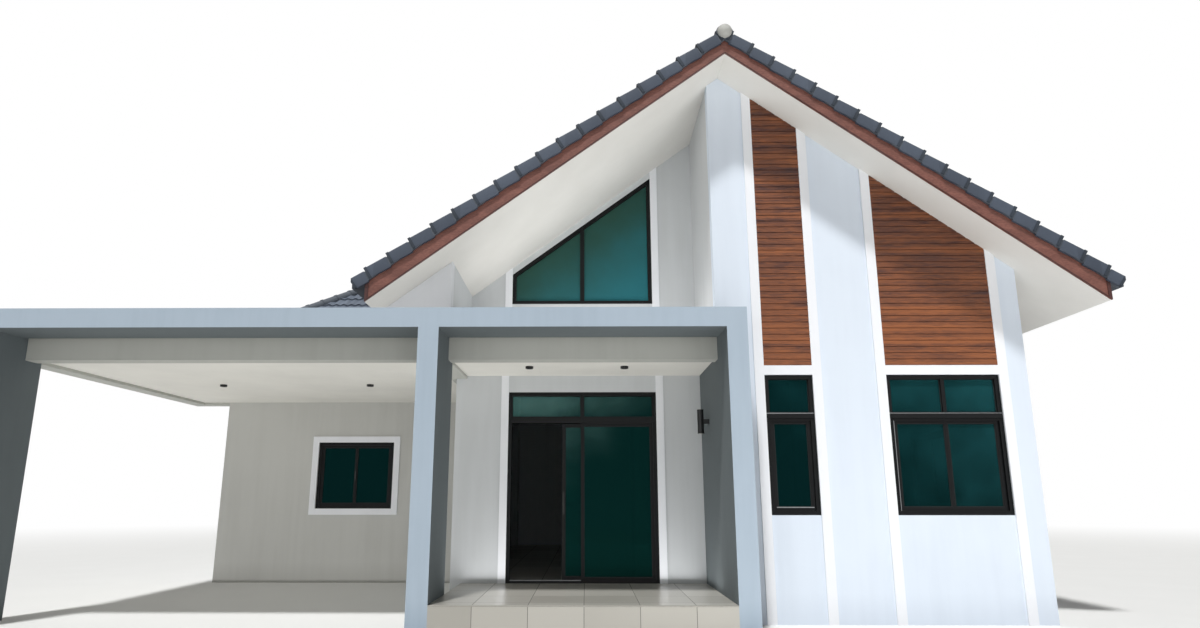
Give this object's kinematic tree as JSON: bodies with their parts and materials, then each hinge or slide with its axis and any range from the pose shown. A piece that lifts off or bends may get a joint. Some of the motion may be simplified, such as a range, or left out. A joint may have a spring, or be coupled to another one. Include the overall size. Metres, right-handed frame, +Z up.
{
  "type": "bungalow",
  "caption": "Modern single-storey bungalow with a steep tiled gable, timber panels, recessed porch with a glass sliding door, flat-roofed carport and hip-roofed wing.",
  "frame": {"origin": "on the ground under the ridge, at the middle of the main block", "axes": "+X to the right seen from the front, +Y to the rear along the ridge, +Z up"},
  "size_m": [13.5857, 12.5188, 7.2942],
  "materials": {
    "wall_plaster": "smooth painted plaster",
    "shaded_plaster": "smooth painted plaster, warm grey",
    "floor_tile": "matt floor tile",
    "white_trim": "white painted plaster band",
    "timber": "stained horizontal boards, satin",
    "barge_timber": "brown painted board",
    "black_frame": "black powder coat",
    "tinted_glass": "green tinted glass",
    "frame_paint": "blue-grey painted render",
    "white_beam_paint": "white painted render",
    "slab_concrete": "concrete roof slab",
    "ceiling_board": "white painted ceiling board",
    "roof_tile": "charcoal concrete tile",
    "ridge_ball": "light grey concrete",
    "black_lamp": "black powder coat"
  },
  "bodies": {
    "house": {"front_bay_wall": "wall_plaster", "right_wall": "wall_plaster", "rear_wall": "wall_plaster", "gable_infill_wall": "wall_plaster", "wing_left_wall": "wall_plaster", "wing_rear_wall": "wall_plaster", "bay_side_wall": "shaded_plaster", "left_walls": "shaded_plaster", "recess_left_wall": "shaded_plaster", "entry_side_walls": "shaded_plaster", "entry_wall_over": "shaded_plaster", "clerestory_wall": "shaded_plaster", "wing_front_wall": "shaded_plaster", "floor_slab": "floor_tile", "porch_floor": "floor_tile", "white_bands": "white_trim", "small_window_surrounds": "white_trim", "wood_panels": "timber", "bargeboards": "barge_timber", "eave_fascias": "barge_timber", "bay_window_frames": "black_frame", "clerestory_frame": "black_frame", "small_window_frames": "black_frame", "door_frame": "black_frame", "door_fixed_leaf": "black_frame", "bay_window_glass": "tinted_glass", "clerestory_glass": "tinted_glass", "small_window_glass": "tinted_glass", "door_fixed_glass": "tinted_glass", "canopy_frame": "frame_paint", "canopy_beams": "white_beam_paint", "canopy_slab": "slab_concrete", "canopy_ceilings": "ceiling_board", "main_soffit": "ceiling_board", "wing_soffit": "ceiling_board", "main_roof_left": "roof_tile", "main_roof_right": "roof_tile", "verge_tiles": "roof_tile", "ridge_caps": "roof_tile", "wing_roof": "roof_tile", "wing_hip_caps": "roof_tile", "ridge_end_balls": "ridge_ball", "outdoor_lamps": "black_lamp"},
    "door_leaf": {"sliding_leaf": "black_frame", "sliding_glass": "tinted_glass"}
  },
  "joints": [
    {"name": "leaf_slide", "type": "slide", "parent": "house", "child": "door_leaf", "axis": [1, 0, 0], "range_m": [-0.7, 0.2]}
  ]
}
